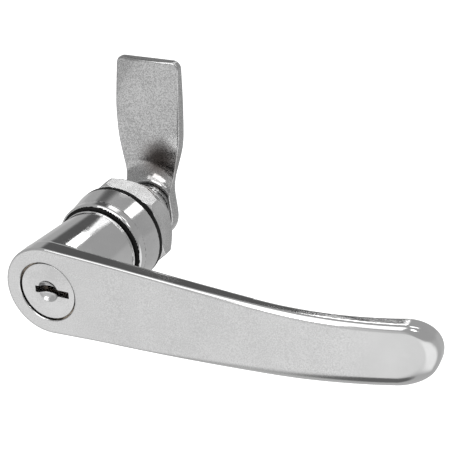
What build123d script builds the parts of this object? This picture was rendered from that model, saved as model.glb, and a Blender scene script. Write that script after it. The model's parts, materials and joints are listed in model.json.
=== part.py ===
from build123d import *
import math
import os

# Keyed L-handle cam latch.
#
# Frame: millimetres. The spindle axis is Y, with +Y going into the panel. The lever points
# along +X and the cam along +Z. The origin is on the spindle axis, in the plane where the
# bezel's back meets the gasket. Each sub-part is one function that returns its shape.

os.makedirs("parts", exist_ok=True)

# ---- lever: head, bar and neck --------------------------------------------------------
FACE_Y = -34.1              # front face of the lever's head
HEAD_R = 11.9
NECK_R = 11.15              # neck just in front of the bezel
TIP_R = 8.5
TIP_X = 96.3
BAR_MID_X = 40.0
BAR_MID_HALF = 10.0
FACE_FLAT_X = 9.0           # the face is flat round the lock, and rises beyond this
FRONT_BOW = 1.45            # how far the face stands forward where the bar starts to bend
FRONT_BEND_X = 60.0
FRONT_BEND_R = 85.0
ROOT_THICK = 5.3
REAR_BEND_X = 58.5
REAR_BEND_DEPTH = 2.55      # bar's rear face behind the head's face at REAR_BEND_X
REAR_BEND_R = 72.0
FACE_EDGE_R = 0.7
REAR_EDGE_R = 1.3
FLARE_R = 3.6               # hollow round between the neck and the bar's rear
FLARE_INSET = 0.4

# ---- lever: neck inside the bezel, journal and spindle --------------------------------
BEAD_R = 11.35              # fine raised bead at the end of the neck
BEAD_FRONT_Y = -10.15
NECK_STEP_Y = -9.3
NECK_IN_R = 11.0
NECK_END_Y = -6.4
JOURNAL_R = 9.6
JOURNAL_END_Y = -1.2
SPINDLE_R = 7.0
SPINDLE_END_Y = 18.2
SQUARE = 9.0
SQUARE_END_Y = 22.3
TAPPED_R = 3.0
TAPPED_START_Y = 11.5
RUN = 0.05                  # radial clearance of a running fit
SEAT_GAP = 0.03             # radial gap of a piece seated in its own body

# ---- lock cylinder --------------------------------------------------------------------
BORE_R = 8.0
BORE_END_Y = -12.2
BORE_CHAMFER = 0.35
CHAMBER_R = 6.0
CHAMBER_END_Y = -2.5
PLUG_FACE_Y = -33.6
FLANGE_R = 7.63
FLANGE_END_Y = -32.0
PLUG_R = 6.6
PLUG_END_Y = -12.5
SHELL_START_Y = -31.9
SHELL_END_Y = -13.6
SHELL_PIN_Y = -15.5
SHELL_PIN_R = 1.0
SHELL_PIN_OUT = -10.9
SHELL_PIN_IN = -7.1
CLIP_START_Y = -13.45
CLIP_T = 0.55
CLIP_GROOVE_R = 5.6
CLIP_OUT_R = 7.7
TAIL_R = 4.0
TAIL_END_Y = -7.4
TAIL_SQUARE = 4.2
TAIL_SQUARE_END_Y = -6.45
KEYWAY_LOW_X = -3.66
KEYWAY_HIGH_X = 4.7
KEYWAY_MOUTH_X = 5.95       # the keyway is wider through the plug's front flange
KEYWAY_MOUTH_END_Y = -31.5
KEYWAY_HALF_T = 0.88
KEYWAY_END_Y = -17.0
DIMPLE_R = 2.9
DIMPLE_DEPTH = 1.3
WAFER_COUNT = 5
WAFER_PITCH = 2.4
WAFER_FIRST_Y = -28.6
WAFER_T = 1.1
WAFER_HALF_L = 6.1
WAFER_HALF_W = 2.2
WAFER_TRAVEL = 0.9
WAFER_PLAY = 0.05
WAFER_CUTS = (0.4, 0.9, 0.6, 1.0, 0.5)      # how far each wafer's window edge stands in the keyway
WAFER_WINDOW_HALF = 1.15
WAFER_WINDOW_SPARE = 0.25
WINDOW_HALF_W = 2.45        # windows in the shell that the wafers spring into
WINDOW_START_Y = -30.0
WINDOW_END_Y = -17.6
EAR_HALF = 0.6
EAR_TOP = 4.3
SPRING_Z = 3.35
SPRING_R = 0.45
SPRING_WIRE_R = 0.11
SPRING_PITCH = 0.5
SPRING_L = 3.0
POCKET_R = 0.7

# ---- locking bolt and the spiral cam that drives it -----------------------------------
DRIVE_R = 5.7
DRIVE_START_Y = -7.2
DRIVE_END_Y = -4.9
GROOVE_FLOOR_Y = -6.15
GROOVE_HALF_W = 0.98        # along the radius, so that the slanting groove still clears the pin
BOLT_PIN_R = 0.75
BOLT_PIN_START = 2.3        # bolt pin to axis with the bolt drawn in
BOLT_PIN_Y0 = -6.0
BOLT_PIN_Y1 = -3.2
BOLT_TRAVEL = 2.1
BOLT_FRONT_Y = -4.7
BOLT_REAR_Y = -2.7
BOLT_HALF_W = 2.0
BOLT_INNER_Z = -0.8
BOLT_TIP_R = 9.42
BOLT_PLAY = 0.1

# ---- housing: bezel and threaded barrel -----------------------------------------------
BEZEL_FRONT_Y = -9.5
LIP_IN_R = 12.05
LIP_OUT_R = 12.66
LIP_END_Y = -6.1
BEZEL_REAR_R = 13.6
POCKET_END_Y = -7.3
SHOULDER_Y = -0.3
THREAD_R = 11.0
THREAD_PITCH = 1.5
THREAD_DEPTH = 0.8
THREAD_START_Y = 0.6
THREAD_TURNS = 7
BARREL_END_Y = 11.9
BARREL_FLAT = 10.4          # the two flats that stop the barrel turning in its cut-out
STOP_RADIUS = 8.3
STOP_PIN_R = 0.8
STOP_PIN_FRONT_Y = -2.9
STOP_PIN_REAR_Y = 2.5
STOP_GROOVE_FLOOR_Y = -3.2
STOP_GROOVE_SPARE = 6.2     # degrees of groove past the pin's centre at each end

# ---- gasket, nut, washers and circlip -------------------------------------------------
GASKET_END_Y = 1.6
NUT_END_Y = 9.0
NUT_AF = 25.5
NUT_TURN = 43.1             # degrees from +X towards +Z to the nut's first corner
NUT_REAR_FACE_R = 12.7
NUT_REAR_SLOPE = 1.9        # the rear corners are turned off steeply
NUT_FRONT_FACE_R = 13.7
NUT_FRONT_SLOPE = 0.6
ORING_Y = 5.0
ORING_R = 6.28
ORING_WIRE_R = 0.7
ORING_GROOVE_R = 5.55
WASHER_START_Y = 12.05
WASHER_END_Y = 12.75
CIRCLIP_START_Y = 12.95
CIRCLIP_END_Y = 13.95
CIRCLIP_GROOVE_R = 6.2
CIRCLIP_OUT_R = 8.7

# ---- cam ------------------------------------------------------------------------------
CAM_HUB_FRONT_Y = 18.25
CAM_HUB_REAR_Y = 22.55
BLADE_FRONT_Y = 20.9
BLADE_REAR_Y = 24.4
CAM_TOP_Z = 43.3
BLADE_HALF = 9.85
HUB_HALF = 8.0
HUB_DROP = 2.0
WAIST_HALF = 7.25
WAIST_Z = 7.0
BOSS_R = 8.5                # flat round face of the raised hub, cut by the cam's outline
SCREW_HEAD_R = 5.0
SCREW_HEAD_H = 3.1
SCREW_SOCKET_R = 2.3


# ---- helpers --------------------------------------------------------------------------
def rod(radius, y0, y1):
    """Solid cylinder on the spindle axis, from y0 to y1."""
    body = Cylinder(radius, y1 - y0, align=(Align.CENTER, Align.CENTER, Align.MIN))
    return body.rotate(Axis.X, -90).moved(Location((0, y0, 0)))


def ring(outer, inner, y0, y1):
    """Plain ring on the spindle axis."""
    return rod(outer, y0, y1) - rod(inner, y0 - 1, y1 + 1)


def block(x0, x1, y0, y1, z0, z1):
    """Box from its low and high corners."""
    middle = ((x0 + x1) / 2, (y0 + y1) / 2, (z0 + z1) / 2)
    return Box(x1 - x0, y1 - y0, z1 - z0).moved(Location(middle))


def turned(points):
    """Solid of revolution about Y from its (radius, y) corners."""
    outline = Polyline(*points, close=True)
    return revolve(make_face(outline), Axis.Y)


def plate(face, y0, y1):
    """Extrude a face drawn in X and Z from y0 to y1."""
    return extrude(Plane.XZ.offset(-y0) * face, amount=y0 - y1)


def polar(radius, degrees):
    """Point in X and Z, with the angle measured from +X towards +Z."""
    turn = math.radians(degrees)
    return (radius * math.cos(turn), radius * math.sin(turn))


def sector(radius, low, high):
    """Wedge-shaped face about the axis, between two angles in degrees."""
    steps = 6
    rim = [polar(radius, low + (high - low) * i / steps) for i in range(steps + 1)]
    return make_face(Polyline((0, 0), *rim, close=True))


# ---- lever ----------------------------------------------------------------------------
def front_profile(x):
    """Depth of the lever's front face where it bends towards the panel."""
    drop = FRONT_BEND_R - math.sqrt(FRONT_BEND_R**2 - (x - FRONT_BEND_X) ** 2)
    return FACE_Y - FRONT_BOW + drop


def rear_profile(x):
    """Depth of the bar's rear face: straight from the root, then a long bend."""
    slope = (ROOT_THICK - REAR_BEND_DEPTH) / REAR_BEND_X
    if x < REAR_BEND_X - slope * REAR_BEND_R:
        return FACE_Y + ROOT_THICK - slope * x
    drop = REAR_BEND_R - math.sqrt(REAR_BEND_R**2 - (x - REAR_BEND_X) ** 2)
    return FACE_Y + REAR_BEND_DEPTH + drop


def bar_outline(inset=0.0):
    """Lever seen from the front: round head, slightly hollow taper, round tip."""
    head = polar(HEAD_R - inset, 87)
    under = polar(HEAD_R - inset, -87)
    mid = BAR_MID_HALF - inset
    tip = TIP_R - inset
    tip_x = TIP_X - TIP_R
    top = ThreePointArc(head, (BAR_MID_X, mid), (tip_x, tip))
    end = ThreePointArc((tip_x, tip), (tip_x + tip, 0), (tip_x, -tip))
    low = ThreePointArc((tip_x, -tip), (BAR_MID_X, -mid), under)
    back = ThreePointArc(under, (inset - HEAD_R, 0), head)
    return make_face(Curve() + [top, end, low, back])


def bar_side():
    """Side profile of the bar in X and Y."""
    reach = TIP_X + 2
    left = -HEAD_R - 1
    slope = (ROOT_THICK - REAR_BEND_DEPTH) / REAR_BEND_X
    rear_start = REAR_BEND_X - slope * REAR_BEND_R
    front_mid = (FRONT_BEND_X + reach) / 2
    rear_mid = (rear_start + reach) / 2
    flat_end = (FACE_FLAT_X, FACE_Y)
    bend_start = (FRONT_BEND_X, front_profile(FRONT_BEND_X))
    front_end = (reach, front_profile(reach))
    rear_end = (reach, rear_profile(reach))
    root = (left, rear_profile(left))
    edges = [
        Line((left, FACE_Y), flat_end),
        Spline(flat_end, bend_start, tangents=[(1, 0), (1, 0)]),
        ThreePointArc(bend_start, (front_mid, front_profile(front_mid)), front_end),
        Line(front_end, rear_end),
        ThreePointArc(rear_end, (rear_mid, rear_profile(rear_mid)), (rear_start, rear_profile(rear_start))),
        Line((rear_start, rear_profile(rear_start)), root),
        Line(root, (left, FACE_Y)),
    ]
    return make_face(Curve() + edges)


def long_edges(solid, depth_at, tolerance):
    """Curved edges that stay on a face whose depth along the bar is depth_at(x)."""
    found = []
    for edge in solid.edges():
        ends = [edge @ 0.02, edge @ 0.5, edge @ 0.98]
        near = all(abs(p.Y - depth_at(p.X)) < tolerance for p in ends)
        if near and edge.geom_type != GeomType.LINE:
            found.append(edge)
    return found


def face_depth(x):
    """Depth of the whole front face, with its rise taken as a smooth step."""
    if x < FACE_FLAT_X:
        return FACE_Y
    if x > FRONT_BEND_X:
        return front_profile(x)
    t = (x - FACE_FLAT_X) / (FRONT_BEND_X - FACE_FLAT_X)
    return FACE_Y - FRONT_BOW * (3 * t**2 - 2 * t**3)


def neck_and_spindle():
    """Everything turned on the lever: neck, journal, spindle and their two grooves."""
    side = HEAD_R - SEAT_GAP
    straight = FACE_Y + ROOT_THICK + 0.9
    taper = Line((side, straight), (NECK_R, BEAD_FRONT_Y))
    oring_half = 0.95
    back = Polyline(
        (NECK_R, BEAD_FRONT_Y),
        (BEAD_R, BEAD_FRONT_Y + 0.2),
        (BEAD_R, NECK_STEP_Y),
        (NECK_IN_R, NECK_STEP_Y),
        (NECK_IN_R, NECK_END_Y),
        (JOURNAL_R, NECK_END_Y),
        (JOURNAL_R, JOURNAL_END_Y),
        (SPINDLE_R, JOURNAL_END_Y),
        (SPINDLE_R, ORING_Y - oring_half),
        (ORING_GROOVE_R, ORING_Y - oring_half),
        (ORING_GROOVE_R, ORING_Y + oring_half),
        (SPINDLE_R, ORING_Y + oring_half),
        (SPINDLE_R, CIRCLIP_START_Y - 0.05),
        (CIRCLIP_GROOVE_R, CIRCLIP_START_Y - 0.05),
        (CIRCLIP_GROOVE_R, CIRCLIP_END_Y + 0.05),
        (SPINDLE_R, CIRCLIP_END_Y + 0.05),
        (SPINDLE_R, SPINDLE_END_Y),
        (0, SPINDLE_END_Y),
        (0, FACE_Y + 1.2),
        (side, FACE_Y + 1.2),
        (side, straight),
    )
    return revolve(make_face(Curve() + [taper] + back.edges()), Axis.Y)


def flare():
    """Hollow round that carries the neck into the bar's rear face."""
    base_r = HEAD_R - 0.3
    foot_y = FACE_Y + 4.25
    top_y = foot_y + FLARE_R
    short = FLARE_R * (1 - math.cos(math.pi / 4))
    hollow = ThreePointArc((base_r, top_y), (base_r + short, foot_y + short), (base_r + FLARE_R, foot_y))
    core = 6.0
    sunk = FACE_Y + 3.2
    edge_r = base_r + FLARE_R
    rest = Polyline((edge_r, foot_y), (edge_r, sunk), (core, sunk), (core, top_y), (base_r, top_y))
    body = revolve(make_face(Curve() + [hollow] + rest.edges()), Axis.Y)
    return body & plate(bar_outline(FLARE_INSET), FACE_Y - 5, FACE_Y + 20)


def lever():
    bar = extrude(bar_side(), amount=HEAD_R + 5, both=True)
    bar = bar & plate(bar_outline(), FACE_Y - 5, FACE_Y + 20)
    bar = fillet(long_edges(bar, face_depth, 0.35), FACE_EDGE_R)
    rear = [e for e in long_edges(bar, rear_profile, 0.3) if e.length > 20]
    bar = fillet(rear, REAR_EDGE_R)
    body = bar + neck_and_spindle() + flare()
    half = SQUARE / 2
    square = block(-half, half, SPINDLE_END_Y - 1, SQUARE_END_Y, -half, half)
    body += square & rod(SQUARE * 0.66, SPINDLE_END_Y - 1, SQUARE_END_Y)
    body -= rod(TAPPED_R, TAPPED_START_Y, SQUARE_END_Y + 1)
    body -= rod(BORE_R, FACE_Y - 3, BORE_END_Y)
    body -= rod(CHAMBER_R, BORE_END_Y - 1, CHAMBER_END_Y)
    mouth = BORE_R + BORE_CHAMFER + 1
    inner = FACE_Y + BORE_CHAMFER
    body -= turned([(0, FACE_Y - 1), (mouth, FACE_Y - 1), (BORE_R, inner), (0, inner)])
    slot = BOLT_HALF_W + BOLT_PLAY
    body -= block(-slot, slot, BOLT_FRONT_Y - BOLT_PLAY, BOLT_REAR_Y + BOLT_PLAY, -JOURNAL_R - 1, 0)
    groove = ring(STOP_RADIUS + 0.95, STOP_RADIUS - 0.95, STOP_GROOVE_FLOOR_Y, 0)
    sweep = sector(2 * JOURNAL_R, -STOP_GROOVE_SPARE, 90 + STOP_GROOVE_SPARE)
    body -= groove & plate(sweep, STOP_GROOVE_FLOOR_Y, JOURNAL_END_Y + 0.01)
    return body - shell_pin_rod(SHELL_PIN_R + SEAT_GAP, SHELL_PIN_OUT - 2, SHELL_PIN_IN)


def shell_pin_rod(radius, z0, z1):
    """Cylinder along Z through the underside of the neck."""
    body = Cylinder(radius, z1 - z0, align=(Align.CENTER, Align.CENTER, Align.MIN))
    return body.moved(Location((0, SHELL_PIN_Y, z0)))


# ---- lock cylinder --------------------------------------------------------------------
def lock_shell():
    body = ring(BORE_R - SEAT_GAP, PLUG_R + RUN, SHELL_START_Y, SHELL_END_Y)
    reach = BORE_R + 1
    half = WINDOW_HALF_W
    body -= block(-reach, reach, WINDOW_START_Y, WINDOW_END_Y, -half, half)
    body -= block(-half, half, WINDOW_START_Y, WINDOW_END_Y, -reach, reach)
    return body - shell_pin_rod(SHELL_PIN_R + SEAT_GAP, SHELL_PIN_OUT, SHELL_PIN_IN)


def shell_pin():
    return chamfer(shell_pin_rod(SHELL_PIN_R, SHELL_PIN_OUT, SHELL_PIN_IN).edges(), 0.15)


def wafer_y(index):
    return WAFER_FIRST_Y + WAFER_PITCH * index


def wafer_side(index):
    """+1 for wafers that spring towards +X, -1 for the ones between them."""
    return 1 if index % 2 == 0 else -1


def wafer_slots(index):
    """Room in the plug for one wafer, its ear and its spring."""
    y = wafer_y(index)
    side = wafer_side(index)
    half_t = WAFER_T / 2 + WAFER_PLAY
    half_w = WAFER_HALF_W + WAFER_PLAY
    body = block(-PLUG_R - 1, PLUG_R + 1, y - half_t, y + half_t, -half_w, half_w)
    ends = sorted([-side * (EAR_HALF + 0.1), side * (EAR_HALF + WAFER_TRAVEL + 0.1)])
    top = sorted([0, side * (EAR_TOP + 0.1)])
    body += block(ends[0], ends[1], y - half_t, y + half_t, top[0], top[1])
    return body + spring_pocket(index)


def plug():
    body = rod(FLANGE_R, PLUG_FACE_Y, FLANGE_END_Y)
    body = chamfer(body.edges().sort_by(Axis.Y)[0], 0.2)
    body += rod(PLUG_R, FLANGE_END_Y - 0.5, PLUG_END_Y)
    body += rod(TAIL_R, PLUG_END_Y - 1, TAIL_END_Y)
    half = TAIL_SQUARE / 2
    body += block(-half, half, TAIL_END_Y - 1, TAIL_SQUARE_END_Y, -half, half)
    body -= ring(PLUG_R + 1, CLIP_GROOVE_R, CLIP_START_Y, CLIP_START_Y + CLIP_T + 0.05)
    ball_r = (DIMPLE_R**2 + DIMPLE_DEPTH**2) / (2 * DIMPLE_DEPTH)
    body -= Sphere(ball_r).moved(Location((0, PLUG_FACE_Y + DIMPLE_DEPTH - ball_r, 0)))
    half_t = KEYWAY_HALF_T
    body -= block(KEYWAY_LOW_X, KEYWAY_MOUTH_X, PLUG_FACE_Y - 1, KEYWAY_MOUTH_END_Y, -half_t, half_t)
    body -= block(KEYWAY_LOW_X, KEYWAY_HIGH_X, PLUG_FACE_Y, KEYWAY_END_Y, -half_t, half_t)
    for index in range(WAFER_COUNT):
        body -= wafer_slots(index)
    return body


def spring_place(index):
    """Where a wafer's spring starts, turned so that the spring's own +Z runs along X."""
    side = wafer_side(index)
    start = (-side * (EAR_HALF + 0.05), wafer_y(index), side * SPRING_Z)
    return Location(start, (0, -90 * side, 0))


def spring_pocket(index):
    body = Cylinder(POCKET_R, SPRING_L + 0.3, align=(Align.CENTER, Align.CENTER, Align.MIN))
    return body.moved(spring_place(index))


def wafer(index):
    y = wafer_y(index)
    side = wafer_side(index)
    half_t = WAFER_T / 2
    body = block(-WAFER_HALF_L, WAFER_HALF_L, y - half_t, y + half_t, -WAFER_HALF_W, WAFER_HALF_W)
    top = sorted([side * (WAFER_HALF_W - 0.1), side * EAR_TOP])
    body += block(-EAR_HALF, EAR_HALF, y - half_t, y + half_t, top[0], top[1])
    window = [KEYWAY_LOW_X - WAFER_WINDOW_SPARE, KEYWAY_HIGH_X + WAFER_WINDOW_SPARE]
    if side > 0:
        window[0] = KEYWAY_LOW_X + WAFER_CUTS[index]
    else:
        window[1] = KEYWAY_HIGH_X - WAFER_CUTS[index]
    return body - block(window[0], window[1], y - 2, y + 2, -WAFER_WINDOW_HALF, WAFER_WINDOW_HALF)


def wafer_springs():
    """Five small compression springs, one behind each wafer's ear."""
    path = Helix(SPRING_PITCH, SPRING_L - 0.4, SPRING_R)
    section = Plane(origin=path @ 0, z_dir=path % 0) * Circle(SPRING_WIRE_R)
    coil = sweep(section, path=path, is_frenet=True).moved(Location((0, 0, 0.2)))
    return Compound(children=[coil.moved(spring_place(i)) for i in range(WAFER_COUNT)])


def plug_clip():
    """Open ring in the plug's rear groove that keeps the plug in its shell."""
    body = ring(CLIP_OUT_R, CLIP_GROOVE_R + SEAT_GAP, CLIP_START_Y + 0.02, CLIP_START_Y + CLIP_T)
    return body - block(0, CLIP_OUT_R + 1, CLIP_START_Y - 1, CLIP_START_Y + 2, -3.4, 3.4)


def spiral_face():
    """Outline of the groove that pushes the bolt's pin out evenly over a quarter turn."""
    spare = 4.0
    steps = 8
    inner = []
    outer = []
    for i in range(steps + 1):
        turn = -spare + (90 + 2 * spare) * i / steps
        radius = BOLT_PIN_START + BOLT_TRAVEL * turn / 90
        inner.append(polar(radius - GROOVE_HALF_W, turn - 90))
        outer.append(polar(radius + GROOVE_HALF_W, turn - 90))
    sides = [Spline(*inner), Line(inner[-1], outer[-1]), Spline(*reversed(outer)), Line(outer[0], inner[0])]
    return make_face(Curve() + sides)


def drive_cam():
    body = rod(DRIVE_R, DRIVE_START_Y, DRIVE_END_Y)
    half = TAIL_SQUARE / 2 + SEAT_GAP
    body -= block(-half, half, DRIVE_START_Y - 1, TAIL_SQUARE_END_Y + 0.05, -half, half)
    body -= plate(spiral_face(), GROOVE_FLOOR_Y, DRIVE_END_Y + 1)
    for turn in (0, 90):
        x, z = polar(BOLT_PIN_START + BOLT_TRAVEL * turn / 90, turn - 90)
        body -= rod(GROOVE_HALF_W, GROOVE_FLOOR_Y, DRIVE_END_Y + 1).moved(Location((x, 0, z)))
    return body


def bolt_pin():
    return rod(BOLT_PIN_R, BOLT_PIN_Y0, BOLT_PIN_Y1).moved(Location((0, 0, -BOLT_PIN_START)))


def locking_bolt():
    body = block(-BOLT_HALF_W, BOLT_HALF_W, BOLT_FRONT_Y, BOLT_REAR_Y, -BOLT_TIP_R, BOLT_INNER_Z)
    body = body & rod(BOLT_TIP_R, BOLT_FRONT_Y - 1, BOLT_REAR_Y + 1)
    hole = rod(BOLT_PIN_R + SEAT_GAP, BOLT_FRONT_Y - 1, BOLT_PIN_Y1)
    return body - hole.moved(Location((0, 0, -BOLT_PIN_START)))


# ---- housing --------------------------------------------------------------------------
def housing():
    """Bezel with its rounded lip, and the threaded barrel behind it."""
    lip_mid = (LIP_IN_R + 0.43, BEZEL_FRONT_Y + 0.9)
    lip = ThreePointArc((LIP_IN_R, BEZEL_FRONT_Y), lip_mid, (LIP_OUT_R, LIP_END_Y))
    line_r = LIP_OUT_R - 0.14
    root_r = THREAD_R - THREAD_DEPTH
    crest = THREAD_PITCH * 0.12
    points = [
        (LIP_OUT_R, LIP_END_Y),
        (line_r, LIP_END_Y + 0.1),
        (LIP_OUT_R + 0.06, LIP_END_Y + 0.28),
        (BEZEL_REAR_R - 0.02, -0.35),
        (BEZEL_REAR_R - 0.3, 0),
        (THREAD_R, 0),
    ]
    for turn in range(THREAD_TURNS):
        y = THREAD_START_Y + THREAD_PITCH * turn
        middle = y + (THREAD_PITCH - crest) / 2
        points += [(THREAD_R, y), (root_r, middle - crest / 2)]
        points += [(root_r, middle + crest / 2), (THREAD_R, y + THREAD_PITCH - crest)]
    points += [
        (root_r, BARREL_END_Y),
        (SPINDLE_R + RUN, BARREL_END_Y),
        (SPINDLE_R + RUN, SHOULDER_Y),
        (JOURNAL_R + RUN, SHOULDER_Y),
        (JOURNAL_R + RUN, NECK_END_Y + 0.2),
        (NECK_IN_R + 0.1, NECK_END_Y + 0.2),
        (NECK_IN_R + 0.1, POCKET_END_Y),
        (LIP_IN_R, POCKET_END_Y),
        (LIP_IN_R, BEZEL_FRONT_Y),
    ]
    body = revolve(make_face(Curve() + [lip] + Polyline(*points).edges()), Axis.Y)
    for side in (-1, 1):
        low, high = sorted([side * BARREL_FLAT, side * (THREAD_R + 3)])
        body -= block(low, high, GASKET_END_Y, BARREL_END_Y + 1, -20, 20)
    reach = BOLT_TIP_R + BOLT_TRAVEL + 0.3
    half = BOLT_HALF_W + 0.2
    notch = block(-half, half, BOLT_FRONT_Y - 0.2, BOLT_REAR_Y + 0.2, -reach, -JOURNAL_R + 1)
    body -= notch
    body -= notch.rotate(Axis.Y, 90)
    return body - stop_pin_rod(STOP_PIN_R + SEAT_GAP)


def stop_pin_rod(radius):
    return rod(radius, STOP_PIN_FRONT_Y, STOP_PIN_REAR_Y).moved(Location((STOP_RADIUS, 0, 0)))


def stop_pin():
    return stop_pin_rod(STOP_PIN_R)


def neck_seal():
    return ring(LIP_IN_R - 0.05, NECK_IN_R + 0.06, BEZEL_FRONT_Y + 0.3, POCKET_END_Y - 0.05)


def thrust_washer():
    """Flat washer behind the journal, notched to clear the stop pin."""
    body = ring(JOURNAL_R - 0.2, SPINDLE_R + 0.2, JOURNAL_END_Y + 0.08, SHOULDER_Y - 0.03)
    half = STOP_PIN_R + 0.15
    return body - block(STOP_RADIUS - half, JOURNAL_R + 1, JOURNAL_END_Y - 1, SHOULDER_Y + 1, -half, half)


def gasket():
    return ring(BEZEL_REAR_R, THREAD_R + 0.05, 0, GASKET_END_Y)


def hex_nut():
    corner = NUT_AF / 2 / math.cos(math.pi / 6)
    hexagon = RegularPolygon(radius=corner, side_count=6, rotation=NUT_TURN)
    body = plate(hexagon, GASKET_END_Y, NUT_END_Y)
    wide = corner + 1
    rear_drop = (wide - NUT_REAR_FACE_R) * NUT_REAR_SLOPE
    front_drop = (wide - NUT_FRONT_FACE_R) * NUT_FRONT_SLOPE
    cone = turned([
        (0, GASKET_END_Y),
        (NUT_FRONT_FACE_R, GASKET_END_Y),
        (wide, GASKET_END_Y + front_drop),
        (wide, NUT_END_Y - rear_drop),
        (NUT_REAR_FACE_R, NUT_END_Y),
        (0, NUT_END_Y),
    ])
    body = body & cone
    bore = THREAD_R + RUN
    body -= rod(bore, GASKET_END_Y - 1, NUT_END_Y + 1)
    flare_r = bore + 0.7
    flare_y = NUT_END_Y - 0.7
    return body - turned([(0, flare_y), (bore, flare_y), (flare_r, NUT_END_Y), (0, NUT_END_Y)])


def spindle_oring():
    return Torus(ORING_R, ORING_WIRE_R).rotate(Axis.X, 90).moved(Location((0, ORING_Y, 0)))


def rear_washer():
    return ring(THREAD_R - 0.6, SPINDLE_R + 0.1, WASHER_START_Y, WASHER_END_Y)


def circlip():
    """External circlip with two eyed ends, open towards -Z."""
    inner = CIRCLIP_GROOVE_R + SEAT_GAP
    body = ring(CIRCLIP_OUT_R - 0.5, inner, CIRCLIP_START_Y, CIRCLIP_END_Y)
    body -= block(-1.6, 1.6, CIRCLIP_START_Y - 1, CIRCLIP_END_Y + 1, -20, 0)
    for side in (-1, 1):
        eye = Location((side * 2.6, 0, -CIRCLIP_OUT_R + 0.9))
        body += rod(1.35, CIRCLIP_START_Y, CIRCLIP_END_Y).moved(eye) - rod(SPINDLE_R + 0.2, 0, 20)
        body -= rod(0.6, CIRCLIP_START_Y - 1, CIRCLIP_END_Y + 1).moved(eye)
    return body


# ---- cam ------------------------------------------------------------------------------
def cam_outline():
    """Blade and hub seen from the front."""
    corner = 2.2
    shoulder = CAM_TOP_Z - corner
    half = BLADE_HALF - 0.1
    places = [(HUB_HALF, -HUB_DROP), (WAIST_HALF, WAIST_Z), (9.5, 20), (BLADE_HALF, 29), (half, shoulder)]
    right = Spline(*places, tangents=[(0, 1), (0, 1)])
    left = Spline(*[(-x, z) for x, z in places], tangents=[(0, 1), (0, 1)])
    short = corner * (1 - math.cos(math.pi / 4))
    edges = [right, left]
    for side in (-1, 1):
        start = (side * half, shoulder)
        bend = (side * (half - short), CAM_TOP_Z - short)
        edges.append(ThreePointArc(start, bend, (side * (half - corner), CAM_TOP_Z)))
    edges.append(Line((corner - half, CAM_TOP_Z), (half - corner, CAM_TOP_Z)))
    edges.append(ThreePointArc((-HUB_HALF, -HUB_DROP), (0, -HUB_DROP - HUB_HALF), (HUB_HALF, -HUB_DROP)))
    return make_face(Curve() + edges)


def cam_side():
    """Cranked side profile in Y and Z, without the raised hub."""
    low = -HUB_DROP - HUB_HALF - 1
    high = CAM_TOP_Z + 1
    crank = [(CAM_HUB_REAR_Y, 11.0), (BLADE_REAR_Y, 17.0)]
    points = [(BLADE_FRONT_Y, low), (BLADE_FRONT_Y, high), (BLADE_REAR_Y, high), crank[1], crank[0]]
    points.append((CAM_HUB_REAR_Y, low))
    outline = make_face(Polyline(*points, close=True))
    bends = [v for v in outline.vertices() if 10 < v.Y < 18]
    return fillet(bends, 6.0)


def cam_boss():
    """Raised round hub face with a sloping shoulder that runs out into the blade."""
    face = CAM_HUB_FRONT_Y
    rim = (BOSS_R, face)
    brow = (BOSS_R + 1.1, face + 0.7)
    heel = (BOSS_R + 2.1, face + 1.75)
    toe = (BOSS_R + 5.3, BLADE_FRONT_Y + 0.05)
    deep = BLADE_FRONT_Y + 0.6
    top = ThreePointArc(rim, (BOSS_R + 0.6, face + 0.2), brow)
    slope = Line(brow, heel)
    foot = ThreePointArc(heel, (BOSS_R + 3.3, BLADE_FRONT_Y - 0.2), toe)
    rest = Polyline(toe, (toe[0], deep), (0, deep), (0, face), rim)
    return revolve(make_face(Curve() + [top, slope, foot] + rest.edges()), Axis.Y)


def front_bevel(low, high, corner, depth):
    """Wedge that planes the blade's front down towards a corner, from the line low-high."""
    a = Vector(low[0], BLADE_FRONT_Y, low[1])
    b = Vector(high[0], BLADE_FRONT_Y, high[1])
    c = Vector(corner[0], BLADE_FRONT_Y + depth, corner[1])
    normal = (b - a).cross(c - a).normalized()
    if normal.Y > 0:
        normal = normal * -1
    face = Plane(origin=c, x_dir=(b - a).normalized(), z_dir=normal) * Rectangle(60, 60)
    return extrude(face, amount=8)


def cam():
    side = Plane.YZ * cam_side()
    blade = extrude(side, amount=HUB_HALF * 2, both=True)
    outline = plate(cam_outline(), CAM_HUB_FRONT_Y - 1, BLADE_REAR_Y + 1)
    body = (blade + cam_boss()) & outline
    body -= front_bevel((-BLADE_HALF, 29), (-2.5, CAM_TOP_Z), (-BLADE_HALF, CAM_TOP_Z), 2.0)
    body -= front_bevel((3.5, CAM_TOP_Z), (BLADE_HALF, 32), (BLADE_HALF, CAM_TOP_Z), 0.7)
    half = SQUARE / 2 + RUN
    return body - block(-half, half, CAM_HUB_FRONT_Y - 1, CAM_HUB_REAR_Y + 1, -half, half)


def cam_washer():
    return ring(6.5, 3.2, CAM_HUB_REAR_Y + 0.03, CAM_HUB_REAR_Y + 0.9)


def spring_washer():
    body = ring(5.6, 3.2, CAM_HUB_REAR_Y + 0.95, CAM_HUB_REAR_Y + 2.3)
    cut = block(-0.45, 0.45, CAM_HUB_REAR_Y, CAM_HUB_REAR_Y + 4, -8, 0)
    return body - cut.rotate(Axis.Y, 25)


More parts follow.
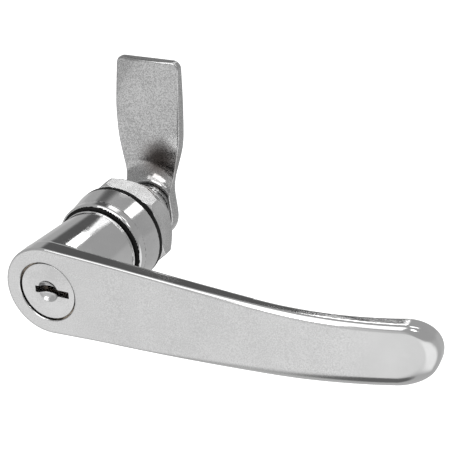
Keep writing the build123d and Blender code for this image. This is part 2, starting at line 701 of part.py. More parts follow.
def cam_screw():
    """Screw with a low domed head and a six-sided socket."""
    seat = CAM_HUB_REAR_Y + 2.35
    rim = (SCREW_HEAD_R, seat + 1.2)
    crown = (0, seat + SCREW_HEAD_H)
    dome = ThreePointArc(rim, (0.78 * SCREW_HEAD_R, seat + 0.82 * SCREW_HEAD_H), crown)
    start = TAPPED_START_Y + 1
    shank_r = TAPPED_R - 0.06
    rest = Polyline(crown, (0, start), (shank_r, start), (shank_r, seat), (SCREW_HEAD_R, seat), rim)
    body = revolve(make_face(Curve() + [dome] + rest.edges()), Axis.Y)
    return body - plate(RegularPolygon(radius=SCREW_SOCKET_R, side_count=6), seat + 0.9, seat + 5)


# ---- write every node -----------------------------------------------------------------
NODES = {
    "lever": lever,
    "lock_shell": lock_shell,
    "shell_pin": shell_pin,
    "plug": plug,
    "plug_clip": plug_clip,
    "wafer_springs": wafer_springs,
    "drive_cam": drive_cam,
    "locking_bolt": locking_bolt,
    "bolt_pin": bolt_pin,
    "housing": housing,
    "stop_pin": stop_pin,
    "neck_seal": neck_seal,
    "thrust_washer": thrust_washer,
    "gasket": gasket,
    "hex_nut": hex_nut,
    "spindle_oring": spindle_oring,
    "rear_washer": rear_washer,
    "circlip": circlip,
    "cam": cam,
    "cam_washer": cam_washer,
    "spring_washer": spring_washer,
    "cam_screw": cam_screw,
}

for name, make in NODES.items():
    export_step(make(), f"parts/{name}.step")

for index in range(WAFER_COUNT):
    export_step(wafer(index), f"parts/wafer_{index + 1}.step")
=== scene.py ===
import json
import math
import bpy
import numpy as np
from mathutils import Matrix, Vector

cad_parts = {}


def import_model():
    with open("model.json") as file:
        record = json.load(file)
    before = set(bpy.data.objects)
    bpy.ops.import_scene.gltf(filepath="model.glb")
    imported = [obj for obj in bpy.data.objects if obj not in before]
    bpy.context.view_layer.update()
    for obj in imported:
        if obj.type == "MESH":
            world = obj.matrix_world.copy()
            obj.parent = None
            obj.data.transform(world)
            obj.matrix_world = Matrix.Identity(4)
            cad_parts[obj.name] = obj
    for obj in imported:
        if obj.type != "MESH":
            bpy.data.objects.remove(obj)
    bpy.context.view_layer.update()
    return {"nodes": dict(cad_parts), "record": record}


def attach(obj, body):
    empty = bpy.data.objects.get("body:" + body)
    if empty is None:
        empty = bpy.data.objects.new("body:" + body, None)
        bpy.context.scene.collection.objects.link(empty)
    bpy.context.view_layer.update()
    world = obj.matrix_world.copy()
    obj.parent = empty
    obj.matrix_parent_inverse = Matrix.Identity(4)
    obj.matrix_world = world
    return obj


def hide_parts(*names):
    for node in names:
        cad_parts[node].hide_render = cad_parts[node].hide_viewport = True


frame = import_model()

# All shape values are millimetres in the part's own frame: Y is the spindle axis and goes into
# the panel, the lever points along +X and the cam along +Z. Meshes are scaled to metres.
MM = 0.001


# ---- fields: signed distances that are negative inside the metal -------------------------
def cut(a, b, radius):
    """Intersection of two fields, with a rounded edge."""
    ua = np.maximum(radius + a, 0.0)
    ub = np.maximum(radius + b, 0.0)
    return np.minimum(-radius, np.maximum(a, b)) + np.sqrt(ua * ua + ub * ub)


def join(a, b, radius):
    """Union of two fields, with a hollow round where they meet."""
    ua = np.maximum(radius - a, 0.0)
    ub = np.maximum(radius - b, 0.0)
    return np.maximum(radius, np.minimum(a, b)) - np.sqrt(ua * ua + ub * ub)


def drum(r, y, outer, y0, y1, radius=0.1):
    """Solid cylinder between y0 and y1."""
    return cut(cut(r - outer, y0 - y, radius), y - y1, radius)


def tube(r, y, outer, inner, y0, y1, radius=0.1):
    return cut(drum(r, y, outer, y0, y1, radius), inner - r, radius)


def slab(x, y, z, x0, x1, y0, y1, z0, z1, radius=0.05):
    """Box between two corners."""
    across = np.abs(x - (x0 + x1) / 2) - (x1 - x0) / 2
    deep = np.abs(y - (y0 + y1) / 2) - (y1 - y0) / 2
    high = np.abs(z - (z0 + z1) / 2) - (z1 - z0) / 2
    return cut(cut(across, deep, radius), high, radius)


def gradient(field, p):
    step = 0.004
    g = np.empty_like(p)
    for axis in range(3):
        ahead = p.copy()
        behind = p.copy()
        ahead[:, axis] += step
        behind[:, axis] -= step
        g[:, axis] = (field(*ahead.T) - field(*behind.T)) / (2 * step)
    return g


def settle(field, p, cell, rounds):
    """Moves points onto the surface, along the field's gradient."""
    for _ in range(rounds):
        g = gradient(field, p)
        size = np.maximum((g * g).sum(1), 0.05)
        move = g * (field(*p.T) / size)[:, None]
        length = np.sqrt((move * move).sum(1))
        move *= np.minimum(1.0, 0.6 * cell / np.maximum(length, 1e-9))[:, None]
        p = p - move
    return p


def skin(name, field, low, high, cell, body, node, material, relax=3):
    """Meshes a field's surface with even quads, and stands it in for a CAD node."""
    lines = [np.arange(a - 2 * cell, b + 2.5 * cell, cell) for a, b in zip(low, high)]
    grid = np.meshgrid(*lines, indexing="ij")
    inside = field(*grid) < 0
    count = np.zeros([n - 1 for n in inside.shape], np.int8)
    for i in (0, 1):
        for j in (0, 1):
            for k in (0, 1):
                nx, ny, nz = count.shape
                count += inside[i:i + nx, j:j + ny, k:k + nz]
    active = (count > 0) & (count < 8)
    index = np.full(active.shape, -1)
    index[active] = np.arange(active.sum())
    places = np.nonzero(active)
    points = np.stack([lines[a][places[a]] + cell / 2 for a in range(3)], 1)
    quads = []
    for axis in range(3):
        solid = np.moveaxis(inside, axis, 0)
        cells = np.moveaxis(index, axis, 0)
        start = solid[:-1, 1:-1, 1:-1]
        end = solid[1:, 1:-1, 1:-1]
        for leaving in (True, False):
            hit = (start & ~end) if leaving else (~start & end)
            i, j, k = np.nonzero(hit)
            ring = [cells[i, j, k], cells[i, j + 1, k], cells[i, j + 1, k + 1], cells[i, j, k + 1]]
            if leaving == (axis == 1):
                ring.reverse()
            quads.append(np.stack(ring, 1))
    quads = np.concatenate(quads)
    points = settle(field, points, cell, 4)
    ends = np.concatenate([quads[:, [a, (a + 1) % 4]] for a in range(4)])
    for _ in range(relax):
        total = np.zeros_like(points)
        for axis in range(3):
            total[:, axis] = np.bincount(ends[:, 0], points[ends[:, 1], axis], len(points))
            total[:, axis] += np.bincount(ends[:, 1], points[ends[:, 0], axis], len(points))
        share = np.bincount(ends.ravel(), minlength=len(points))
        middle = total / np.maximum(share, 1)[:, None]
        points = settle(field, points + 0.6 * (middle - points), cell, 2)
    points = settle(field, points, cell, 2)
    normals = gradient(field, points)
    normals /= np.maximum(np.sqrt((normals * normals).sum(1)), 1e-9)[:, None]
    mesh = bpy.data.meshes.new(name)
    mesh.from_pydata((points * MM).tolist(), [], quads.tolist())
    mesh.polygons.foreach_set("use_smooth", [True] * len(mesh.polygons))
    mesh.normals_split_custom_set_from_vertices(normals.tolist())
    mesh.materials.append(material)
    piece = bpy.data.objects.new(name, mesh)
    bpy.context.scene.collection.objects.link(piece)
    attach(piece, body)
    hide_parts(node)
    return piece


SLOTS = {entry["node"]: entry["material_slot"] for entry in frame["record"]["subparts"]}


# ---- materials ----------------------------------------------------------------------------
class Sheet:
    """A node tree being written, with short calls for the nodes that the materials share."""

    def __init__(self, name):
        self.material = bpy.data.materials.new(name)
        self.material.use_nodes = True
        self.tree = self.material.node_tree
        self.shader = self.tree.nodes["Principled BSDF"]
        self.place = self.node("ShaderNodeTexCoord").outputs["Object"]

    def node(self, kind, **settings):
        made = self.tree.nodes.new(kind)
        for key, value in settings.items():
            setattr(made, key, value)
        return made

    def link(self, output, to):
        self.tree.links.new(output, to)

    def put(self, to, value):
        """Sets an input, or links it when the value is another node's output."""
        if isinstance(value, bpy.types.NodeSocket):
            self.link(value, to)
        else:
            to.default_value = value

    def noise(self, scale, detail=4.0, roughness=0.55, stretch=(1, 1, 1)):
        vector = self.place
        if stretch != (1, 1, 1):
            mapping = self.node("ShaderNodeMapping")
            mapping.inputs["Scale"].default_value = stretch
            self.link(self.place, mapping.inputs["Vector"])
            vector = mapping.outputs["Vector"]
        made = self.node("ShaderNodeTexNoise")
        self.link(vector, made.inputs["Vector"])
        made.inputs["Scale"].default_value = scale
        made.inputs["Detail"].default_value = detail
        made.inputs["Roughness"].default_value = roughness
        return made.outputs["Fac"]

    def math(self, kind, a, b=0.0, clamp=False):
        made = self.node("ShaderNodeMath", operation=kind, use_clamp=clamp)
        self.put(made.inputs[0], a)
        self.put(made.inputs[1], b)
        return made.outputs["Value"]

    def span(self, value, low, high, to_low, to_high, smooth=False):
        """Maps a value from one range to another, held at the ends."""
        made = self.node("ShaderNodeMapRange")
        made.interpolation_type = "SMOOTHSTEP" if smooth else "LINEAR"
        self.put(made.inputs["Value"], value)
        for key, number in zip(("From Min", "From Max", "To Min", "To Max"), (low, high, to_low, to_high)):
            made.inputs[key].default_value = number
        return made.outputs["Result"]

    def mix(self, amount, a, b):
        """Colour mix."""
        made = self.node("ShaderNodeMix", data_type="RGBA")
        self.put(made.inputs["Factor"], amount)
        self.put(made.inputs["A"], a)
        self.put(made.inputs["B"], b)
        return made.outputs["Result"]

    def bump(self, height, strength, distance):
        made = self.node("ShaderNodeBump")
        self.link(height, made.inputs["Height"])
        made.inputs["Strength"].default_value = strength
        made.inputs["Distance"].default_value = distance
        self.link(made.outputs["Normal"], self.shader.inputs["Normal"])

    def axis(self, name):
        split = self.node("ShaderNodeSeparateXYZ")
        self.link(self.place, split.inputs["Vector"])
        return split.outputs[name]

    def facing(self, name):
        """The surface normal's part along one axis."""
        split = self.node("ShaderNodeSeparateXYZ")
        self.link(self.node("ShaderNodeNewGeometry").outputs["Normal"], split.inputs["Vector"])
        return split.outputs[name]

    def edges(self, low, high):
        """0 on flats and 1 on convex edges."""
        point = self.node("ShaderNodeNewGeometry").outputs["Pointiness"]
        return self.span(point, low, high, 0.0, 1.0)


def grey(value, warm=0.0):
    return (value * (1 + warm), value, value * (1 - warm), 1.0)


SPECK_SCALE = 3400.0
# Centre of the cam's painted reflection patch (a dark brown spot above the bend), in metres.
PAINTED_REFLECTION_PLACE = (0.0034, 0.0209, 0.0146)


def plated(name, tone, dark, rough, spread, grain_scale, grain, wear=0.04, warm=0.0, speckle=0.2):
    """Metal plate: soft stains, fine speckle, a grain in bump and roughness, and polished edges."""
    s = Sheet(name)
    cloud = s.noise(90.0, 5.0)
    fine = s.noise(grain_scale, 3.0, 0.6)
    s.shader.inputs["Metallic"].default_value = 1.0
    shade = s.span(cloud, 0.35, 0.7, 0.0, 1.0)
    specks = s.span(s.noise(SPECK_SCALE, 2.0, 0.7), 0.35, 0.65, -speckle, speckle)
    shade = s.math("ADD", shade, specks, clamp=True)
    s.link(s.mix(shade, grey(tone, warm), grey(dark, warm)), s.shader.inputs["Base Color"])
    base = s.span(cloud, 0.3, 0.7, rough - spread, rough + spread)
    base = s.math("ADD", base, s.span(fine, 0.3, 0.7, -spread / 2, spread / 2))
    base = s.math("SUBTRACT", base, s.math("MULTIPLY", s.edges(0.52, 0.6), wear), clamp=True)
    s.link(base, s.shader.inputs["Roughness"])
    s.bump(fine, grain, 0.0001)
    return s.material


def rubber(name):
    s = Sheet(name)
    fine = s.noise(1800.0, 4.0)
    dust = s.span(s.noise(160.0, 5.0), 0.45, 0.75, 0.0, 1.0)
    s.link(s.mix(dust, grey(0.004), grey(0.012)), s.shader.inputs["Base Color"])
    s.link(s.span(fine, 0.3, 0.7, 0.45, 0.65), s.shader.inputs["Roughness"])
    s.shader.inputs["Specular IOR Level"].default_value = 0.12
    s.bump(fine, 0.25, 0.00008)
    return s.material


def lever_plate():
    """Satin chrome on the front, brighter on the sides and at the tip."""
    s = Sheet("lever_chrome_plate")
    cloud = s.noise(60.0, 4.0)
    fine = s.noise(2600.0, 3.0, 0.6)
    lines = s.noise(700.0, 3.0, 0.6, stretch=(0.12, 1, 1))
    front = s.span(s.facing("Y"), -0.97, -0.80, 1.0, 0.0, smooth=True)
    tip = s.span(s.axis("X"), 0.070, 0.086, 0.0, 1.0, smooth=True)
    satin = s.math("MULTIPLY", front, s.math("SUBTRACT", 1.0, tip))
    s.shader.inputs["Metallic"].default_value = 1.0
    specks = s.math("MULTIPLY", s.span(s.noise(SPECK_SCALE, 2.0, 0.7), 0.35, 0.65, -0.7, 0.7), satin)
    shade = s.math("ADD", s.span(cloud, 0.3, 0.7, 0.2, 0.8), specks, clamp=True)
    s.link(s.mix(shade, grey(0.70), grey(0.56)), s.shader.inputs["Base Color"])
    rough = s.math("ADD", 0.10, s.math("MULTIPLY", satin, 0.19))
    rough = s.math("ADD", rough, s.span(lines, 0.3, 0.7, -0.03, 0.03), clamp=True)
    s.link(rough, s.shader.inputs["Roughness"])
    s.bump(s.math("ADD", fine, lines), 0.07, 0.0001)
    return s.material


def cam_plate():
    """Dull zinc on a forged blade: speckle, pits, and a painted reflection (a dark brown patch) above a polished
    bend.
    """
    s = Sheet("cam_zinc_plate")
    cloud = s.noise(70.0, 5.0)
    fine = s.noise(1400.0, 3.0, 0.6)
    specks = s.span(s.noise(3000.0, 3.0, 0.75), 0.38, 0.62, -0.75, 0.75)
    pits = s.span(s.noise(620.0, 4.0, 0.65, stretch=(1, 1, 0.6)), 0.64, 0.70, 0.0, 0.5)
    shade = s.math("ADD", s.span(cloud, 0.3, 0.7, 0.2, 0.7), specks)
    shade = s.math("ADD", shade, pits, clamp=True)
    colour = s.mix(shade, grey(0.56), grey(0.31))
    away = s.node("ShaderNodeVectorMath", operation="DISTANCE")
    s.link(s.place, away.inputs[0])
    away.inputs[1].default_value = PAINTED_REFLECTION_PLACE
    # Painted reflection: a dark brown patch above the bend stands in for the dark reflection seen there.
    painted_reflection = s.span(away.outputs["Value"], 0.0008, 0.0082, 0.85, 0.0, smooth=True)
    colour = s.mix(painted_reflection, colour, (0.105, 0.082, 0.072, 1.0))
    s.shader.inputs["Metallic"].default_value = 1.0
    s.link(colour, s.shader.inputs["Base Color"])
    blade = s.span(s.axis("Z"), 0.009, 0.014, 0.0, 1.0, smooth=True)
    rough = s.math("ADD", 0.09, s.math("MULTIPLY", blade, 0.11))
    rough = s.math("ADD", rough, s.span(fine, 0.3, 0.7, -0.03, 0.03), clamp=True)
    s.link(rough, s.shader.inputs["Roughness"])
    s.bump(fine, 0.2, 0.0001)
    return s.material


MATERIALS = {
    "lever_chrome": lever_plate(),
    "lock_chrome": plated("lock_chrome_plate", 0.68, 0.56, 0.20, 0.05, 2200.0, 0.06, speckle=0.5),
    "bezel_chrome": plated("bezel_chrome_plate", 0.66, 0.56, 0.10, 0.03, 1500.0, 0.03, speckle=0.3),
    "seal_rubber": rubber("black_rubber"),
    "nut_plated": plated("nut_nickel_plate", 0.62, 0.44, 0.26, 0.07, 1100.0, 0.16, speckle=0.6),
    "cam_plated": cam_plate(),
    "lock_brass": plated("lock_brass", 0.34, 0.26, 0.30, 0.06, 1500.0, 0.1, warm=0.18),
    "pin_steel": plated("pin_steel", 0.55, 0.45, 0.28, 0.06, 1800.0, 0.1),
    "spring_steel": plated("spring_steel", 0.20, 0.14, 0.35, 0.06, 1800.0, 0.1),
    "washer_steel": plated("washer_zinc", 0.60, 0.50, 0.32, 0.06, 1600.0, 0.15),
    "screw_steel": plated("screw_zinc", 0.60, 0.50, 0.30, 0.06, 1600.0, 0.15),
}

for node, piece in frame["nodes"].items():
    for slot in piece.material_slots:
        slot.material = MATERIALS[SLOTS[node]]

# ---- lever ----------------------------------------------------------------------------------
FACE_Y = -34.1
HEAD_R = 11.9
HEAD_TANGENT_X = 0.62
NECK_R = 11.15
TIP_R = 8.5
TIP_X = 96.3
TIP_CENTRE_X = TIP_X - TIP_R
BAR_MID_X = 40.0
BAR_MID_HALF = 10.0
FACE_FLAT_X = 9.0
FRONT_BOW = 1.45
FRONT_BEND_X = 60.0
FRONT_BEND_R = 85.0
ROOT_THICK = 5.3
REAR_BEND_X = 58.5
REAR_BEND_DEPTH = 2.55
REAR_BEND_R = 72.0
FACE_EDGE_R = 0.7
TIP_EDGE_R = 1.8            # the front edges are rounder towards the tip, most at the bottom
TIP_LOW_EDGE_R = 5.0
TIP_END_EDGE_R = 2.8
REAR_EDGE_R = 1.3
FLARE_R = 3.6
BORE_R = 8.0
BORE_END_Y = -12.2
BEAD_R = 11.35
BEAD_FRONT_Y = -10.15
CHAMBER_R = 6.0
CHAMBER_END_Y = -2.5
JOURNAL_R = 9.6
BOLT_FRONT_Y = -4.7
BOLT_REAR_Y = -2.7
BOLT_HALF_W = 2.0


def bar_half_width(x):
    """Slightly hollow taper through the head's edge, the middle and the tip."""
    ends = [(HEAD_TANGENT_X, 11.88), (BAR_MID_X, BAR_MID_HALF), (TIP_CENTRE_X, TIP_R)]
    return np.polyval(np.polyfit([p[0] for p in ends], [p[1] for p in ends], 2), x)


def bar_outline(x, z):
    """Distance to the lever's outline seen from the front."""
    head = np.hypot(x, z) - HEAD_R
    tip = np.hypot(x - TIP_CENTRE_X, z) - TIP_R
    side = np.abs(z) - bar_half_width(x)
    return np.where(x < HEAD_TANGENT_X, head, np.where(x > TIP_CENTRE_X, tip, side))


def front_line(x):
    t = np.clip((x - FACE_FLAT_X) / (FRONT_BEND_X - FACE_FLAT_X), 0, 1)
    reach = np.maximum(x - FRONT_BEND_X, 0)
    bend = FRONT_BEND_R - np.sqrt(FRONT_BEND_R**2 - reach**2)
    return FACE_Y - FRONT_BOW * (3 * t**2 - 2 * t**3) + bend


def rear_line(x):
    slope = (ROOT_THICK - REAR_BEND_DEPTH) / REAR_BEND_X
    start = REAR_BEND_X - slope * REAR_BEND_R
    straight = FACE_Y + ROOT_THICK - slope * x
    bend = FACE_Y + REAR_BEND_DEPTH + REAR_BEND_R - np.sqrt(REAR_BEND_R**2 - (x - REAR_BEND_X) ** 2)
    return np.where(x < start, straight, bend)


def steepness(line, x):
    step = 0.05
    return np.sqrt(1 + ((line(x + step) - line(x - step)) / (2 * step)) ** 2)


def neck_radius(y):
    """Fine taper from the head to the bezel."""
    return np.interp(y, (FACE_Y + ROOT_THICK, BEAD_FRONT_Y), (HEAD_R - 0.1, NECK_R))


def lever_field(x, y, z):
    r = np.hypot(x, z)
    outline = bar_outline(x, z)
    lines_x = np.clip(x, -14, TIP_X + 2)
    front = (front_line(lines_x) - y) / steepness(front_line, lines_x)
    rear = (y - rear_line(lines_x)) / steepness(rear_line, lines_x)
    along = np.clip((x - 20.0) / 62.0, 0, 1)
    low = np.clip(0.5 - z / 10.0, 0, 1)
    tip_edge = TIP_EDGE_R + (TIP_LOW_EDGE_R - TIP_EDGE_R) * low**2 * (3 - 2 * low)
    end = np.clip((x - 89.0) / 6.0, 0, 1) ** 2
    tip_edge = tip_edge + (TIP_END_EDGE_R - tip_edge) * end
    edge = FACE_EDGE_R + (tip_edge - FACE_EDGE_R) * along**2 * (3 - 2 * along)
    bar = cut(cut(outline, front, edge), rear, REAR_EDGE_R)
    neck = np.maximum(np.maximum(r - neck_radius(y), FACE_Y + 3.9 - y), y + 9.3)
    neck = np.minimum(neck, drum(r, y, BEAD_R, BEAD_FRONT_Y, -9.3, 0.16))
    flare = np.clip(-outline, 0.02, FLARE_R)
    body = join(bar, neck, flare)
    body = np.minimum(body, np.maximum(np.maximum(r - 11.0, -20 - y), y + 6.4))
    body = np.minimum(body, drum(r, y, JOURNAL_R, -20, -1.2))
    body = np.minimum(body, drum(r, y, 7.0, -20, 18.2))
    square = np.maximum(np.abs(x), np.abs(z)) - 4.5
    body = np.minimum(body, np.maximum(np.maximum(square, 10 - y), y - 22.3))
    half = BOLT_HALF_W + 0.1
    slot = slab(x, y, z, -half, half, BOLT_FRONT_Y - 0.1, BOLT_REAR_Y + 0.1, -JOURNAL_R - 1, 0)
    chamber = np.maximum(r - CHAMBER_R, y - CHAMBER_END_Y)
    body = cut(body, -np.minimum(slot, chamber), 0.05)
    bore = np.maximum(r - BORE_R, y - BORE_END_Y)
    return cut(body, -bore, 0.3)


skin("lever_casting", lever_field, (-11.9, -35.6, -11.9), (96.3, 22.3, 11.9), 0.4,
     "handle", "lever", MATERIALS["lever_chrome"])


# ---- lock plug ------------------------------------------------------------------------------
WAFER_FIRST_Y = -28.6
WAFER_PITCH = 2.4
EAR_HALF = 0.6
EAR_TOP = 4.3
SPRING_Z = 3.35
POCKET_R = 0.7


def plug_field(x, y, z):
    r = np.hypot(x, z)
    body = drum(r, y, 7.63, -33.6, -32.0, 0.18)
    body = np.minimum(body, drum(r, y, 6.6, -32.5, -12.5))
    body = np.minimum(body, drum(r, y, 4.0, -13.5, -7.4))
    stub = np.maximum(np.maximum(np.abs(x), np.abs(z)) - 2.1, np.maximum(-8.4 - y, y + 6.45))
    body = np.minimum(body, stub)
    ball_r = (2.9**2 + 1.3**2) / 2.6
    ball = np.sqrt(x * x + z * z + (y + 33.6 - 1.3 + ball_r) ** 2) - ball_r
    body = cut(body, -ball, 0.12)
    keyway = np.minimum(
        slab(x, y, z, -3.66, 5.95, -40, -31.5, -0.88, 0.88),
        slab(x, y, z, -3.66, 4.7, -40, -17, -0.88, 0.88))
    room = keyway
    for index in range(5):
        middle = WAFER_FIRST_Y + WAFER_PITCH * index
        side = 1 if index % 2 == 0 else -1
        front, rear = middle - 0.6, middle + 0.6
        room = np.minimum(room, slab(x, y, z, -9, 9, front, rear, -2.25, 2.25))
        ends = sorted((-side * (EAR_HALF + 0.1), side * (EAR_HALF + 1.0)))
        top = sorted((0, side * (EAR_TOP + 0.1)))
        room = np.minimum(room, slab(x, y, z, ends[0], ends[1], front, rear, top[0], top[1]))
        pocket = np.hypot(y - middle, z - side * SPRING_Z) - POCKET_R
        along = np.maximum(x * side, -4.0 - x * side)
        room = np.minimum(room, np.maximum(pocket, along))
    return cut(body, -room, 0.08)


skin("lock_plug", plug_field, (-7.7, -33.6, -7.7), (7.7, -6.4, 7.7), 0.2,
     "plug", "plug", MATERIALS["lock_chrome"])

# ---- housing --------------------------------------------------------------------------------
BEZEL_FRONT_Y = -9.5
LIP_IN_R = 12.05
LIP_OUT_R = 12.66
LIP_END_Y = -6.1
BEZEL_REAR_R = 13.6
THREAD_R = 11.0
THREAD_PITCH = 1.5
THREAD_DEPTH = 0.8
BARREL_END_Y = 11.9


def housing_field(x, y, z):
    r = np.hypot(x, z)
    lip = cut(np.maximum(r - LIP_OUT_R, BEZEL_FRONT_Y - y), y - LIP_END_Y - 0.05, 0.1)
    shoulder = np.hypot(r - LIP_OUT_R + 1.0, y - BEZEL_FRONT_Y - 1.6)
    rounding = np.where((r > LIP_OUT_R - 1.0) & (y < BEZEL_FRONT_Y + 1.6), shoulder / 1.0 - 1.0, -1.0)
    lip = np.maximum(lip, rounding)
    slope = (BEZEL_REAR_R - LIP_OUT_R) / -LIP_END_Y
    cone = (r - LIP_OUT_R - slope * (y - LIP_END_Y)) / math.sqrt(1 + slope**2)
    skirt = cut(cut(cone, LIP_END_Y + 0.02 - y, 0.16), y, 0.2)
    turn = np.arctan2(z, x) / (2 * math.pi)
    saw = np.abs(np.mod(y / THREAD_PITCH - turn, 1.0) - 0.5) * 2
    depth = np.clip(saw * 1.25 - 0.15, 0, 1) * THREAD_DEPTH
    fade = np.clip((y - 0.8) / 0.8, 0, 1) * np.clip((BARREL_END_Y + 1.2 - y) / 1.2, 0, 1)
    thread = (r - THREAD_R + depth * fade) * 0.75
    barrel = cut(np.maximum(thread, -1.0 - y), y - BARREL_END_Y, 0.3)
    flats = np.where(y > 1.6, np.abs(x) - 10.4, -1.0)
    barrel = cut(barrel, flats, 0.05)
    body = np.minimum(np.minimum(lip, skirt), barrel)
    bore = np.where(y < -7.3, r - LIP_IN_R, np.where(y < -6.2, r - 11.1, np.where(y < -0.3, r - 9.65, r - 7.05)))
    half = BOLT_HALF_W + 0.2
    reach = 11.82
    front, rear = BOLT_FRONT_Y - 0.2, BOLT_REAR_Y + 0.2
    below = slab(x, y, z, -half, half, front, rear, -reach, 1 - JOURNAL_R)
    beside = slab(x, y, z, -reach, 1 - JOURNAL_R, front, rear, -half, half)
    return cut(body, -np.minimum(np.minimum(bore, below), beside), 0.12)


skin("bezel_and_barrel", housing_field, (-13.6, -9.5, -13.6), (13.6, 11.9, 13.6), 0.25,
     "housing", "housing", MATERIALS["bezel_chrome"], relax=1)


# ---- rubber rings -----------------------------------------------------------------------------
def neck_seal_field(x, y, z):
    r = np.hypot(x, z)
    return tube(r, y, LIP_IN_R - 0.05, 11.06, BEZEL_FRONT_Y + 0.3, -7.35, 0.25)


def gasket_field(x, y, z):
    r = np.hypot(x, z)
    return tube(r, y, BEZEL_REAR_R, THREAD_R + 0.05, 0.0, 1.6, 0.3)


skin("neck_seal_ring", neck_seal_field, (-12, -9.2, -12), (12, -7.3, 12), 0.25,
     "housing", "neck_seal", MATERIALS["seal_rubber"])
skin("gasket_ring", gasket_field, (-13.6, 0, -13.6), (13.6, 1.6, 13.6), 0.25,
     "housing", "gasket", MATERIALS["seal_rubber"])

# ---- nut ----------------------------------------------------------------------------------------
NUT_AF = 25.5
NUT_TURN = math.radians(43.1)
NUT_FRONT_Y = 1.6
NUT_END_Y = 9.0
NUT_REAR_FACE_R = 12.7
NUT_REAR_SLOPE = 1.9
NUT_FRONT_FACE_R = 13.7
NUT_FRONT_SLOPE = 0.6


def nut_field(x, y, z):
    r = np.hypot(x, z)
    body = cut(NUT_FRONT_Y - y, y - NUT_END_Y, 0.15)
    for side in range(6):
        turn = NUT_TURN + math.radians(30 + 60 * side)
        body = cut(body, x * math.cos(turn) + z * math.sin(turn) - NUT_AF / 2, 0.25)
    rear = (y - NUT_END_Y + (r - NUT_REAR_FACE_R) * NUT_REAR_SLOPE) / math.hypot(1, NUT_REAR_SLOPE)
    front = (NUT_FRONT_Y - y + (r - NUT_FRONT_FACE_R) * NUT_FRONT_SLOPE) / math.hypot(1, NUT_FRONT_SLOPE)
    body = cut(cut(body, rear, 0.15), front, 0.15)
    mouth = (r - THREAD_R - 0.05 - np.maximum(y - NUT_END_Y + 0.7, 0)) * 0.8
    return cut(body, -mouth, 0.1)


skin("panel_nut", nut_field, (-14.8, 1.6, -14.8), (14.8, 9.0, 14.8), 0.25,
     "nut", "hex_nut", MATERIALS["nut_plated"], relax=2)

# ---- cam ------------------------------------------------------------------------------------------
CAM_TOP_Z = 43.3
CAM_HUB_FRONT_Y = 18.25
CAM_HUB_REAR_Y = 22.55
BLADE_FRONT_Y = 20.9
BLADE_REAR_Y = 24.4
HUB_HALF = 8.0
HUB_DROP = 2.0
BOSS_R = 8.9
CAM_WIDTHS = [(-2.0, 8.0), (7.0, 7.25), (13.5, 8.4), (20.0, 9.5), (29.0, 9.85), (43.3, 9.7)]


def cam_half_width(z):
    """Waist above the hub, then a long swelling blade."""
    at = np.array([p[0] for p in CAM_WIDTHS])
    half = np.array([p[1] for p in CAM_WIDTHS])
    lean = np.gradient(half, at)
    lean[0] = 0.0
    z = np.clip(z, at[0], at[-1])
    i = np.clip(np.searchsorted(at, z) - 1, 0, len(at) - 2)
    span = at[i + 1] - at[i]
    t = (z - at[i]) / span
    start = (2 * t**3 - 3 * t**2 + 1) * half[i] + (t**3 - 2 * t**2 + t) * span * lean[i]
    return start + (3 * t**2 - 2 * t**3) * half[i + 1] + (t**3 - t**2) * span * lean[i + 1]


def bevel(x, y, z, low, high, corner, depth):
    """Plane that takes the blade's front down towards a corner."""
    a = np.array([low[0], BLADE_FRONT_Y, low[1]])
    b = np.array([high[0], BLADE_FRONT_Y, high[1]])
    c = np.array([corner[0], BLADE_FRONT_Y + depth, corner[1]])
    normal = np.cross(b - a, c - a)
    normal /= np.linalg.norm(normal)
    if normal[1] > 0:
        normal = -normal
    return (x - a[0]) * normal[0] + (y - a[1]) * normal[1] + (z - a[2]) * normal[2]


def cam_field(x, y, z):
    r = np.hypot(x, z)
    outline = np.where(z < -HUB_DROP, np.hypot(x, z + HUB_DROP) - HUB_HALF, np.abs(x) - cam_half_width(z))
    outline = cut(outline, z - CAM_TOP_Z, 2.2)
    t = np.clip((z - 9.0) / 10.0, 0, 1)
    rear = y - CAM_HUB_REAR_Y - (BLADE_REAR_Y - CAM_HUB_REAR_Y) * (3 * t**2 - 2 * t**3)
    front = BLADE_FRONT_Y - y
    boss = cut((r - BOSS_R - 0.85 * (y - CAM_HUB_FRONT_Y)) * 0.76, CAM_HUB_FRONT_Y - y, 0.7)
    plate = cut(join(front, boss, 2.2), rear, 0.5)
    plate = cut(plate, bevel(x, y, z, (-9.85, 29), (-2.5, CAM_TOP_Z), (-9.85, CAM_TOP_Z), 2.0), 0.4)
    plate = cut(plate, bevel(x, y, z, (2.5, CAM_TOP_Z), (9.85, 32), (9.85, CAM_TOP_Z), 1.1), 0.3)
    body = cut(plate, outline, 0.5)
    hole = np.maximum(np.abs(x), np.abs(z)) - 4.55
    return cut(body, -hole, 0.1)


skin("cam_plate", cam_field, (-9.9, 18.2, -10), (9.9, 24.4, 43.3), 0.3,
     "handle", "cam", MATERIALS["cam_plated"])

# ---- floor, lights and camera ----------------------------------------------------------------------
FLOOR_Z = -0.130
WALL = 0.50
HIGH_FRONT = 0.75
LOW_FRONT = 1.02
LOW_BACK = 0.60
LOW_RIGHT = 1.25
DARK_WALL = (-0.38, 0.755, 0.53)
DARK_WALL_TONE = 0.13
DARK_BELOW = (0.11, -0.30, -0.95)
DARK_BELOW_TONE = 0.18


def floor():
    size = 9.0
    mesh = bpy.data.meshes.new("floor")
    corners = [(-size, -size, FLOOR_Z), (size, -size, FLOOR_Z), (size, size, FLOOR_Z), (-size, size, FLOOR_Z)]
    mesh.from_pydata(corners, [], [(0, 1, 2, 3)])
    piece = bpy.data.objects.new("floor", mesh)
    bpy.context.scene.collection.objects.link(piece)
    s = Sheet("pale_floor")
    s.shader.inputs["Base Color"].default_value = grey(0.92)
    s.shader.inputs["Roughness"].default_value = 0.9
    s.shader.inputs["Emission Color"].default_value = (1, 1, 1, 1)
    s.shader.inputs["Emission Strength"].default_value = 0.6
    mesh.materials.append(s.material)
    piece.visible_glossy = False


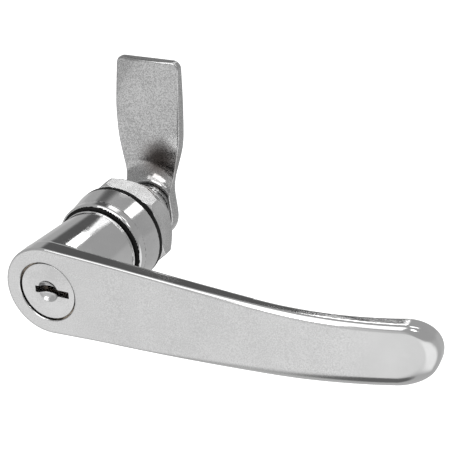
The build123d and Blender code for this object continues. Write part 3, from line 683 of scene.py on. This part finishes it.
def area_light(name, place, aim, width, height, power):
    light = bpy.data.lights.new(name, "AREA")
    light.shape = "RECTANGLE"
    light.size = width
    light.size_y = height
    light.energy = power
    lamp = bpy.data.objects.new(name, light)
    bpy.context.scene.collection.objects.link(lamp)
    lamp.location = place
    lamp.rotation_mode = "QUATERNION"
    lamp.rotation_quaternion = (Vector(aim) - Vector(place)).to_track_quat("-Z", "Y")


def world():
    """Grey studio: pale below in front, with a dark flag at the back left and a dark spot below."""
    made = bpy.data.worlds.new("studio")
    made.use_nodes = True
    tree = made.node_tree
    place = tree.nodes.new("ShaderNodeTexCoord").outputs["Generated"]

    def along(direction):
        dot = tree.nodes.new("ShaderNodeVectorMath")
        dot.operation = "DOT_PRODUCT"
        tree.links.new(place, dot.inputs[0])
        dot.inputs[1].default_value = Vector(direction).normalized()
        return dot.outputs["Value"]

    def fade(value, low, high, to_low, to_high):
        step = tree.nodes.new("ShaderNodeMapRange")
        step.interpolation_type = "SMOOTHSTEP"
        inputs = {"Value": value, "From Min": low, "From Max": high, "To Min": to_low, "To Max": to_high}
        for key, given in inputs.items():
            if isinstance(given, bpy.types.NodeSocket):
                tree.links.new(given, step.inputs[key])
            else:
                step.inputs[key].default_value = given
        return step.outputs["Result"]

    low = fade(along((0, 1, 0)), -0.75, -0.25, LOW_FRONT, LOW_BACK)
    low = fade(along((0.88, -0.20, -0.43)), 0.80, 0.95, low, LOW_RIGHT)
    low = fade(along(DARK_BELOW), 0.940, 0.970, low, DARK_BELOW_TONE)
    front = fade(along((0, 1, 0)), -0.92, -0.62, HIGH_FRONT, WALL)
    high = fade(along(DARK_WALL), 0.950, 0.985, front, DARK_WALL_TONE)
    tone = fade(along((0, 0, 1)), -0.08, 0.08, low, high)
    tree.links.new(tone, tree.nodes["Background"].inputs["Color"])
    bpy.context.scene.world = made


def camera():
    """Long lens, above and to the right of the lever's face."""
    yaw = math.radians(25.08)
    pitch = math.radians(25.93)
    roll = math.radians(-1.273)
    ahead = Vector((-math.sin(yaw) * math.cos(pitch), math.cos(yaw) * math.cos(pitch), -math.sin(pitch)))
    level = Vector((math.cos(yaw), math.sin(yaw), 0))
    above = level.cross(ahead)
    right = math.cos(roll) * level + math.sin(roll) * above
    up = -math.sin(roll) * level + math.cos(roll) * above
    data = bpy.data.cameras.new("camera")
    data.sensor_width = 36.0
    data.lens = 84.517
    data.clip_start = 0.01
    data.clip_end = 20.0
    made = bpy.data.objects.new("camera", data)
    bpy.context.scene.collection.objects.link(made)
    turn = Matrix((right, up, -ahead)).transposed()
    made.matrix_world = Matrix.Translation(Vector((136.63, -221.41, 128.02)) * MM) @ turn.to_4x4()
    bpy.context.scene.camera = made


floor()
world()
area_light("overhead", (0.0, -0.35, 1.0), (0, 0, 0), 1.1, 0.9, 4.2)
area_light("back_strip", (-0.10, 1.0, 0.87), (0, 0, 0), 0.36, 0.27, 1.05)
area_light("right_box", (0.43, 0.58, 0.72), (0, 0, 0), 0.22, 0.32, 0.5)
area_light("front_box", (-0.08, -0.90, 0.75), (0, 0, 0), 0.5, 0.35, 1.9)
area_light("side_box", (0.78, -0.05, 0.75), (0, 0, 0), 0.22, 0.22, 0.7)
camera()

bpy.context.scene.view_settings.view_transform = "Standard"
